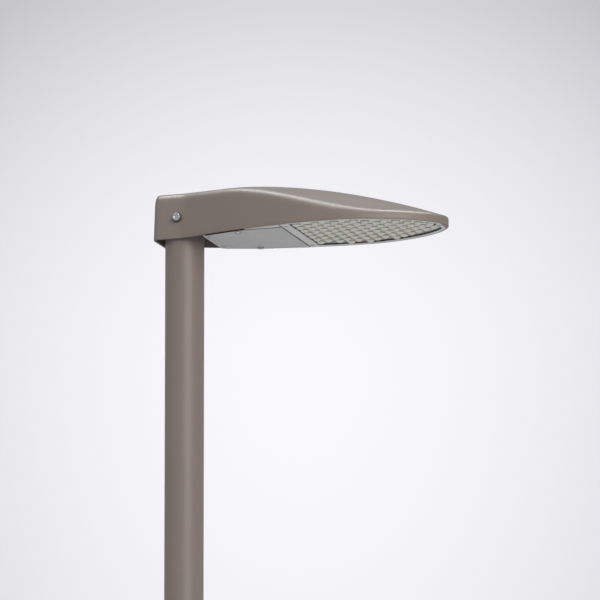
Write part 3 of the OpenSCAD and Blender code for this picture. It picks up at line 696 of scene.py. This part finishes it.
    def ring(self, x: float, inset: float, steps: int = 14) -> list[Point]:
        """One whole cross-section, from the near rim over the ridge to the far rim, in metres."""
        half = self.inside_half(x, inset) if inset else self.half_width(x)
        right = self.half_section(x, half, inset, steps)
        lean = self.draft * max(0.0, 1 - (x - self.rear_x) / 40)
        whole = right + [(-y, z) for y, z in reversed(right[:-1])]
        return [((x + z * lean) * MM, y * MM, RIM_Z + z * MM) for y, z in whole]

    def stations(self) -> list[float]:
        """Places of the cross-sections, close together where the outline turns fast."""
        back = [self.rear_x + self.corner_r * (1 - math.cos(math.radians(a))) for a in range(0, 84, 7)]
        body = [
            self.rear_x + self.corner_r + (self.widest_x - self.rear_x - self.corner_r) * k / 54
            for k in range(54)
        ]
        nose = [
            self.widest_x + (self.nose_x - self.widest_x) * math.sin(math.radians(a * 1.5))
            for a in range(0, 60)
        ]
        return back + body + nose + [self.widest_x + (self.nose_x - self.widest_x) * 0.9999]


@dataclass
class Canopy:
    """The die-cast shell over the head, open underneath."""

    form: HeadForm = field(default_factory=HeadForm)
    pivot_height: float = 41.0
    pivot_r: float = 5.1
    bore_length: float = 140.0

    def build(self) -> bpy.types.Object:
        """Lofts the shell's outer and inner skins, joins them at the rim and bores the pivots.

        Returns:
            The finished canopy.
        """
        form = self.form
        xs = form.stations()
        rear_in, nose_in = form.rear_x + form.wall, form.nose_x - 2.6 * form.wall
        outer = [form.ring(x, 0.0) for x in xs]
        inner = [
            form.ring(rear_in + (x - form.rear_x) * (nose_in - rear_in) / form.length, form.wall) for x in xs
        ]
        a, b, rows = len(outer[0]), len(inner[0]), len(xs)
        points = [p for ring in outer + inner for p in ring]
        base = rows * a
        faces: list[list[int]] = []
        for i in range(rows - 1):
            faces += [[i * a + j, (i + 1) * a + j, (i + 1) * a + j + 1, i * a + j + 1] for j in range(a - 1)]
            faces += [
                [base + i * b + j, base + i * b + j + 1, base + (i + 1) * b + j + 1, base + (i + 1) * b + j]
                for j in range(b - 1)
            ]
            faces.append([i * a, base + i * b, base + (i + 1) * b, (i + 1) * a])
            faces.append([
                base + i * b + b - 1, i * a + a - 1, (i + 1) * a + a - 1, base + (i + 1) * b + b - 1
            ])
        faces.append(list(range(a)))
        faces.append([(rows - 1) * a + j for j in reversed(range(a))])
        faces.append([base + j for j in reversed(range(b))])
        faces.append([base + (rows - 1) * b + j for j in range(b)])
        faces.append([0, a - 1, base + b - 1, base])
        faces.append([base + (rows - 1) * b, base + rows * b - 1, rows * a - 1, (rows - 1) * a])
        shell = mesh_object("canopy_shell", points, faces)
        self.bore(shell)
        settle(shell, 35.0)
        return fit_out(shell, POWDER_COAT, "head", ["canopy"])

    def bore(self, shell: bpy.types.Object) -> None:
        """Cuts the two pivot bores through the collar."""
        bpy.ops.mesh.primitive_cylinder_add(
            vertices=48, radius=self.pivot_r * MM, depth=self.bore_length * MM,
            location=(0, 0, RIM_Z + self.pivot_height * MM), rotation=(math.pi / 2, 0, 0),
        )
        combine(shell, bpy.context.object, "DIFFERENCE")


# ---------------------------------------------------------------- screws, seals and the light engine


def resampled(ring: Sequence[FlatPoint], count: int) -> list[FlatPoint]:
    """Places points evenly round a closed outline, starting at its first point.

    Args:
        ring: the outline.
        count: how many points to place.

    Returns:
        The new points.
    """
    closed = list(ring) + [ring[0]]
    steps = [math.dist(a, b) for a, b in zip(closed, closed[1:])]
    total, out, i, done = sum(steps), [], 0, 0.0
    for k in range(count):
        want = total * k / count
        while done + steps[i] < want:
            done += steps[i]
            i += 1
        t = (want - done) / steps[i] if steps[i] else 0.0
        a, b = closed[i], closed[i + 1]
        out.append((a[0] + (b[0] - a[0]) * t, a[1] + (b[1] - a[1]) * t))
    return out


@dataclass
class PivotScrews:
    """The two socket-head screws that the head tilts on, in mm.

    Attributes:
        inner_end: the shank's end, from the post's axis.
        head_from: the head's seat, from the post's axis.
        head_length: the head's length.
        head_r: its radius.
        shank_r: the shank's radius.
        socket_across: the socket's width across its flats.
        socket_depth: its depth.
        height: the tilt axis, above the rim.
        easing: width of the rounding.
    """

    inner_end: float = 38.1
    head_from: float = 48.97
    head_length: float = 7.0
    head_r: float = 7.3
    shank_r: float = 5.0
    socket_across: float = 8.4
    socket_depth: float = 4.0
    height: float = 41.0
    easing: float = 0.55

    def rod(self, radius: float, y0: float, y1: float, sides: int) -> bpy.types.Object:
        """Adds a round or six-sided rod along -Y, between two distances from the axis."""
        bpy.ops.mesh.primitive_cylinder_add(
            vertices=sides, radius=radius * MM, depth=(y1 - y0) * MM,
            location=(0, -(y0 + y1) / 2 * MM, RIM_Z + self.height * MM), rotation=(math.pi / 2, 0, 0),
        )
        return bpy.context.object

    def build(self) -> bpy.types.Object:
        """Models one screw and copies it to the far side.

        Returns:
            The two screws, as one piece.
        """
        head_end = self.head_from + self.head_length
        screw = self.rod(self.head_r, self.head_from, head_end, 56)
        combine(screw, self.rod(self.shank_r, self.inner_end, self.head_from + 1, 40), "UNION")
        socket = self.rod(
            self.socket_across / 2 / math.cos(math.pi / 6), head_end - self.socket_depth, head_end + 2, 6
        )
        combine(screw, socket, "DIFFERENCE")
        round_off(screw, self.easing, 3)
        only(screw)
        bpy.ops.object.transform_apply(location=True, rotation=True, scale=True)
        bpy.ops.object.duplicate(linked=False)
        far = bpy.context.object
        far.rotation_euler[2] = math.pi
        bpy.ops.object.transform_apply(location=True, rotation=True, scale=True)
        only(screw)
        far.select_set(True)
        bpy.ops.object.join()
        screw.name = "pivot_socket_screws"
        settle(screw, 32.0)
        return fit_out(screw, STAINLESS, "post", ["pivot_screws"])


@dataclass
class LightEngine:
    """The lens plate with its domes, and the seal round it, in mm.

    Attributes:
        rear_x: rear edge of the lens opening.
        nose_x: its front edge.
        inset: from the head's rim to the opening.
        boss_x: place of the nose screw, round which the opening is cut back.
        boss_r: radius of that cut.
        plate_z: underside of the plate.
        plate_t: its thickness.
        dome_r: radius of a dome's sphere.
        dome_depth: how far a dome stands out.
        painted_band_height: height of the band round a dome's foot that carries the painted LED light and
            painted shade.
        pitch: spacing of the columns of domes.
        row_pitch: spacing of domes in a column; every second column is shifted by half of it.
        edge: how far a dome keeps from the opening's edge.
        flange: how far the plate reaches behind the frame.
        dome_sink: how far a dome reaches into the plate.
        seal_steps: spans round the seal.
    """

    form: HeadForm = field(default_factory=HeadForm)
    rear_x: float = 242.773
    nose_x: float = 516.034
    inset: float = 11.0
    boss_x: float = 516.034
    boss_r: float = 8.5
    plate_z: float = 3.8
    plate_t: float = 2.0
    dome_r: float = 10.5
    dome_depth: float = 5.6
    painted_band_height: float = 1.7
    pitch: float = 19.2
    row_pitch: float = 27.0
    edge: float = 9.4
    flange: float = 4.6
    dome_sink: float = 0.6
    seal_steps: int = 160

    def outline(self, grow: float, steps: int = 48) -> list[FlatPoint]:
        """The lens opening's outline, grown outwards by a distance.

        Args:
            grow: distance outwards.
            steps: spans along each side.

        Returns:
            Points as (x, y), once round, in mm.
        """
        x0, x1 = self.rear_x - grow, self.nose_x + grow
        radius = self.boss_r - grow
        side: list[FlatPoint] = []
        for k in range(steps + 1):
            x = x0 + (x1 - x0) * (1 - (1 - k / steps) ** 1.7)
            y = self.form.inside_half(x, self.inset - grow)
            if y <= 0 or math.hypot(x - self.boss_x, y) <= radius * 1.02:
                break
            side.append((x, y))
        start = math.atan2(side[-1][1], side[-1][0] - self.boss_x)
        arc = [
            (self.boss_x + radius * math.cos(a), radius * math.sin(a))
            for a in (start + (math.pi - start) * k / 8 for k in range(1, 9))
        ]
        half = side + arc
        return half + [(x, -y) for x, y in reversed(half[:-1])]

    def places(self) -> list[FlatPoint]:
        """Places of the domes, where a whole dome fits inside the opening."""
        found = []
        column = 0
        while (x := self.rear_x + self.edge + 0.5 + column * self.pitch) < self.nose_x - self.edge:
            for row in range(-8, 9):
                y = (row + (column % 2) / 2) * self.row_pitch
                room = min(
                    self.form.inside_half(x + self.edge * math.cos(a), self.inset)
                    - abs(y) - self.edge * math.sin(a)
                    for a in (math.radians(15 * k) for k in range(7))
                )
                if room > 0 and math.hypot(self.boss_x - x, y) > self.boss_r + self.edge:
                    found.append((x, y))
            column += 1
        return found

    def slab(
        self, name: str, outline: Sequence[FlatPoint], z0: float, z1: float
    ) -> bpy.types.Object:
        """Makes a flat plate from an outline, between two heights above the rim."""
        n = len(outline)
        low = [(x * MM, y * MM, RIM_Z + z0 * MM) for x, y in outline]
        plate = mesh_object(name, low, [list(range(n))])
        pick_faces(plate, lambda face: True)
        bpy.ops.mesh.extrude_region_move(TRANSFORM_OT_translate={"value": (0, 0, (z1 - z0) * MM)})
        bpy.ops.mesh.select_all(action="SELECT")
        bpy.ops.mesh.normals_make_consistent(inside=False)
        bpy.ops.object.mode_set(mode="OBJECT")
        return plate

    def dress_lens(self, obj: bpy.types.Object) -> None:
        """Gives a lens its clear material, and after it the painted LED light and painted shade of the
        domes' feet.
        """
        dress(obj, LENS_ACRYLIC)
        obj.data.materials.append(LENS_FOOT_PAINTED_LIGHT.material())

    def dome(self) -> bpy.types.Object:
        """Models one dome, at the origin of the rim plane, cut flat where it meets the plate."""
        centre = RIM_Z + (self.plate_z + self.dome_r - self.dome_depth) * MM
        bpy.ops.mesh.primitive_uv_sphere_add(
            segments=20, ring_count=14, radius=self.dome_r * MM, location=(0, 0, centre)
        )
        dome = bpy.context.object
        bpy.ops.object.transform_apply(location=True, rotation=True, scale=True)
        bpy.ops.object.mode_set(mode="EDIT")
        bpy.ops.mesh.select_all(action="SELECT")
        bpy.ops.mesh.bisect(
            plane_co=(0, 0, RIM_Z + (self.plate_z + self.dome_sink) * MM), plane_no=(0, 0, 1),
            use_fill=True, clear_outer=True,
        )
        bpy.ops.object.mode_set(mode="OBJECT")
        # The band at each dome's foot gets the painted yellow LED light and painted shade.
        foot = RIM_Z + (self.plate_z - self.painted_band_height) * MM
        self.dress_lens(dome)
        for face in dome.data.polygons:
            face.material_index = int(face.center.z > foot and face.normal.z < 0.5)
        return dome

    def lens(self) -> bpy.types.Object:
        """Builds the plate with all its domes.

        Returns:
            The lens plate.
        """
        plate = self.slab(
            "lens_plate_moulded", self.outline(self.flange), self.plate_z, self.plate_z + self.plate_t
        )
        round_off(plate, 0.4, 2)
        self.dress_lens(plate)
        dome = self.dome()
        copies = []
        for x, y in self.places():
            copy = dome.copy()
            copy.data = dome.data.copy()
            copy.data.transform(Matrix.Translation((x * MM, y * MM, 0)))
            bpy.context.scene.collection.objects.link(copy)
            copies.append(copy)
        bpy.data.objects.remove(dome)
        only(plate)
        for copy in copies:
            copy.select_set(True)
        bpy.ops.object.join()
        settle(plate, 40.0)
        return fit_out(plate, None, "head", ["lens_plate"])

    def seal(self) -> bpy.types.Object:
        """Builds the seal: a flange under the plate and a black lip down the frame's inner wall, painted
        shade for the shadow gap there.

        Returns:
            The seal.
        """
        # The lip down the frame's inner wall is painted shade.
        profile = [
            (0.0, 3.72), (4.4, 3.72), (4.4, 3.12), (-0.08, 3.12), (-0.08, 1.5), (-1.0, 1.7), (-1.0, 3.5)
        ]
        n, m = self.seal_steps, len(profile)
        points = [
            (x * MM, y * MM, RIM_Z + z * MM)
            for grow, z in profile
            for x, y in resampled(self.outline(grow), n)
        ]
        faces = [
            [i * n + j, i * n + (j + 1) % n, ((i + 1) % m) * n + (j + 1) % n, ((i + 1) % m) * n + j]
            for i in range(m)
            for j in range(n)
        ]
        seal = mesh_object("lens_seal_with_painted_shade_lip", points, faces)
        settle(seal, 30.0)
        return fit_out(seal, SILICONE, "head", ["lens_gasket"])


@dataclass
class CoverSeal:
    """The seal with its outer lip, along both long edges of the gear cover, in mm; the black lip is painted
    shade for the shadow gap between cover and frame.

    Attributes:
        form: the head's form.
        x0: where the lip starts.
        x1: where it ends.
        wall_inset: the cover's distance from the rim.
        half: half-width of the cover where the rim leaves it room.
        gap: between the cover's edge and the lip.
        thickness: the lip's outer face, from the cover's edge.
        low: the lip's lower edge.
        high: its upper edge.
        steps: spans along the lip.
    """

    form: HeadForm = field(default_factory=HeadForm)
    x0: float = 62.0
    x1: float = 222.0
    wall_inset: float = 5.7
    half: float = 86.95
    gap: float = 0.15
    thickness: float = 1.5
    low: float = -2.3
    high: float = 2.7
    steps: int = 40

    def lip(self, side: int) -> bpy.types.Object:
        """Sweeps one lip along the cover's edge on one side of the head; its black face is painted shade."""
        profile = [
            (self.gap, self.high), (self.gap, self.low + 0.3), (0.5, self.low),
            (self.thickness, self.low + 0.4), (self.thickness, self.high),
        ]
        count, n = self.steps, len(profile)
        points: list[Point] = []
        for k in range(count + 1):
            x = self.x0 + (self.x1 - self.x0) * k / count
            y = min(self.form.inside_half(x, self.wall_inset), self.half)
            points += [(x * MM, side * (y + dy) * MM, RIM_Z + z * MM) for dy, z in profile]
        faces = [
            [k * n + j, k * n + (j + 1) % n, (k + 1) * n + (j + 1) % n, (k + 1) * n + j]
            for k in range(count)
            for j in range(n)
        ]
        faces += [list(range(n)), [count * n + j for j in range(n)]]
        return mesh_object(f"seal_lip_{side}", points, faces)

    def build(self) -> bpy.types.Object:
        """Joins both lips to a copy of the flat seal.

        Returns:
            The whole seal.
        """
        seal = eased_edges("cover_gasket", "cover_seal_with_painted_shade_lips", 0.0)
        # The black lips are painted shade for the gap along the cover's edges.
        lips = [self.lip(-1), self.lip(1)]
        only(seal)
        for lip in lips:
            lip.select_set(True)
        bpy.ops.object.join()
        bpy.ops.object.mode_set(mode="EDIT")
        bpy.ops.mesh.select_all(action="SELECT")
        bpy.ops.mesh.normals_make_consistent(inside=False)
        bpy.ops.object.mode_set(mode="OBJECT")
        settle(seal, 30.0)
        return fit_out(seal, SILICONE, "head", ["cover_gasket"])


@dataclass
class EasedParts:
    """Castings, pressings and mouldings whose sharp edges are rounded as on the real ones.

    Attributes:
        edges: width of the rounding by node, in mm.
        finishes: finishes that differ from the slot's own, by node.
    """

    edges: dict[str, float] = field(default_factory=lambda: {
        "base_plate": 1.2, "door": 0.9, "door_frame": 0.5, "door_screws": 0.3, "equipment_rail": 0.3,
        "cable_terminals": 0.4, "fuse_base": 0.6, "fuse_carrier": 0.4, "fuse_link": 0.3, "box_gland": 0.4,
        "earth_stud": 0.3, "mast_adapter": 0.5, "tilt_washers": 0.25, "rear_bulkhead": 0.4,
        "front_bulkhead": 0.4, "cable_gland": 0.4, "gear_cover": 0.5, "gear_tray": 0.2, "tray_posts": 0.3,
        "surge_protector": 0.6, "head_terminals": 0.3, "lens_frame": 0.4, "heat_spreader": 0.3,
        "vent_plug": 0.4,
    })

    # The tilt washers' brown grey is painted shade round the pivot screws.
    finishes: dict[str, Finish] = field(default_factory=lambda: {"tilt_washers": WASHER_PAINTED_SHADE})

    def build(self) -> None:
        """Builds every rounded piece."""
        record = frame["record"]
        slots = {part["node"]: part["material_slot"] for part in record["subparts"]}
        bodies = {node: body for body, nodes in record["behaviour"]["bodies"].items() for node in nodes}
        for node, width in self.edges.items():
            piece, slot = eased_edges(node, node + "_eased", width), slots[node]
            finish = self.finishes.get(node, FINISH_OF_SLOT[slot])
            fit_out(piece, finish, bodies[node], [node])


# ---------------------------------------------------------------- the studio


@dataclass
class Studio:
    """Camera, lights, floor and background, in metres.

    Attributes:
        azimuth_deg: the camera's turn round the post, from -Y towards +X.
        elevation_deg: the camera's angle over the head; it looks up from below.
        distance: from the camera to the point it looks at.
        frame_width: width of the picture at that distance.
        aim_right: that point's place, to the right of the post's axis.
        aim_up: its place above the head's rim.
        ambient: strength of the even light from all round.
        glow_peak: brightness of the background at its brightest.
        glow_drop: how far below the middle that is, in half-frames.
        loss_across: fall of brightness towards the sides.
        loss_above: the same upwards.
        loss_below: the same downwards.
        glow_least: brightness that it never falls below.
        glow_colour: the background's linear tint.
    """

    azimuth_deg: float = 17.5
    elevation_deg: float = -12.0
    distance: float = 17.0
    frame_width: float = 1.1676
    aim_right: float = 0.2241
    aim_up: float = -0.1105
    ambient: float = 0.6
    glow_peak: float = 0.956
    glow_drop: float = 0.233
    loss_across: float = 0.134
    loss_above: float = 0.175
    loss_below: float = 0.07
    glow_least: float = 0.55
    glow_colour: tuple[float, float, float, float] = (0.992, 0.988, 1.03, 1.0)

    def axes(self) -> tuple[Vector, Vector, Vector]:
        """The camera's right, up and back directions."""
        a, e = math.radians(self.azimuth_deg), math.radians(self.elevation_deg)
        back = Vector((math.sin(a) * math.cos(e), -math.cos(a) * math.cos(e), math.sin(e)))
        right = Vector((math.cos(a), math.sin(a), 0.0))
        return right, back.cross(right), back

    def camera(self) -> None:
        """Adds a long-lens camera on the head and the top of the post."""
        right, up, back = self.axes()
        data = bpy.data.cameras.new("camera")
        data.sensor_width = 36.0
        data.lens = 36.0 * self.distance / self.frame_width
        data.clip_start, data.clip_end = 1.0, 400.0
        cam = bpy.data.objects.new("camera", data)
        aim = Vector((0, 0, RIM_Z)) + right * self.aim_right + up * self.aim_up
        cam.location = aim + back * self.distance
        cam.rotation_mode = "QUATERNION"
        cam.rotation_quaternion = back.to_track_quat("Z", "Y")
        bpy.context.scene.collection.objects.link(cam)
        bpy.context.scene.camera = cam

    def floor(self) -> None:
        """Adds a plain pale floor."""
        bpy.ops.mesh.primitive_plane_add(size=300.0, location=(0, 0, -0.0005))
        floor = bpy.context.object
        floor.name = "floor"
        dress(floor, FLOOR_PAINT)

    def area(
        self, name: str, place: Point, aim: Point, size: float, watts: float, colour: str
    ) -> bpy.types.Object:
        """Adds one soft area light.

        Args:
            name: the light's name.
            place: where it stands.
            aim: the point it faces.
            size: its side.
            watts: its power.
            colour: its sRGB hex colour.

        Returns:
            The light.
        """
        data = bpy.data.lights.new(name, "AREA")
        data.shape, data.size, data.energy = "SQUARE", size, watts
        data.color = linear(colour)[:3]
        lamp = bpy.data.objects.new(name, data)
        lamp.location = place
        lamp.rotation_mode = "QUATERNION"
        lamp.rotation_quaternion = (Vector(place) - Vector(aim)).to_track_quat("Z", "Y")
        bpy.context.scene.collection.objects.link(lamp)
        return lamp

    def world(self) -> None:
        """Adds a pale surround; behind the head it glows softly and fades outwards."""
        world = bpy.data.worlds.new("pale surround")
        bpy.context.scene.world = world
        world.use_nodes = True
        tree = world.node_tree
        tree.nodes.clear()
        right, up, _ = self.axes()
        spread = 2 * self.distance / self.frame_width
        place = add_node(tree, "ShaderNodeTexCoord")

        def along(axis: Vector) -> bpy.types.NodeSocket:
            """Gives how far a direction leans along an axis, as a share of half the frame."""
            node = add_node(
                tree, "ShaderNodeVectorMath",
                {"operation": "DOT_PRODUCT", 1: tuple(axis * spread)}, {0: place.outputs["Generated"]},
            )
            return node.outputs["Value"]

        def reckon(operation: str, a: Any, b: Any) -> bpy.types.NodeSocket:
            """Adds one sum of two values or sockets."""
            values = {i: v for i, v in enumerate((a, b)) if not isinstance(v, bpy.types.NodeSocket)}
            links = {i: v for i, v in enumerate((a, b)) if isinstance(v, bpy.types.NodeSocket)}
            node = add_node(tree, "ShaderNodeMath", {"operation": operation, **values}, links)
            return node.outputs["Value"]

        across, rise = along(right), reckon("ADD", along(up), self.glow_drop)
        above, below = reckon("MAXIMUM", rise, 0.0), reckon("MINIMUM", rise, 0.0)
        glow: Any = self.glow_peak
        for way, loss in ((across, self.loss_across), (above, self.loss_above), (below, self.loss_below)):
            glow = reckon("SUBTRACT", glow, reckon("MULTIPLY", reckon("MULTIPLY", way, way), loss))
        glow = reckon("MAXIMUM", glow, self.glow_least)
        seen = add_node(
            tree, "ShaderNodeBackground", {"Color": self.glow_colour}, {"Strength": glow}
        )
        lit = add_node(
            tree, "ShaderNodeBackground", {"Color": linear("#eeeff2"), "Strength": self.ambient}
        )
        rays = add_node(tree, "ShaderNodeLightPath")
        both = add_node(
            tree, "ShaderNodeMixShader", None,
            {0: rays.outputs["Is Camera Ray"], 1: lit.outputs["Background"], 2: seen.outputs["Background"]},
        )
        add_node(tree, "ShaderNodeOutputWorld", None, {"Surface": both.outputs["Shader"]})

    def build(self) -> None:
        """Sets up the whole studio."""
        self.camera()
        self.floor()
        self.world()
        self.area("key", (4.1, -4.9, 6.1), (0.1, 0, 3.9), 4.2, 235.0, "#fffaf4")
        for name, x, watts in (("gleam rear", -0.9, 110.0), ("gleam front", 1.3, 150.0)):
            gleam = self.area(name, (x, 0.2, 7.6), (0.3, 0, 4.05), 1.8, watts, "#ffffff")
            gleam.visible_diffuse = False
        view = bpy.context.scene.view_settings
        view.view_transform, view.look = "Standard", "None"


def main() -> None:
    """Builds the lamp's looks and the studio."""
    logging.basicConfig(level=logging.INFO, format="%(name)s: %(message)s")
    dress_cad_nodes()
    Canopy().build()
    PivotScrews().build()
    engine = LightEngine()
    engine.lens()
    engine.seal()
    CoverSeal().build()
    EasedParts().build()
    Studio().build()


if __name__ == "__main__":
    main()
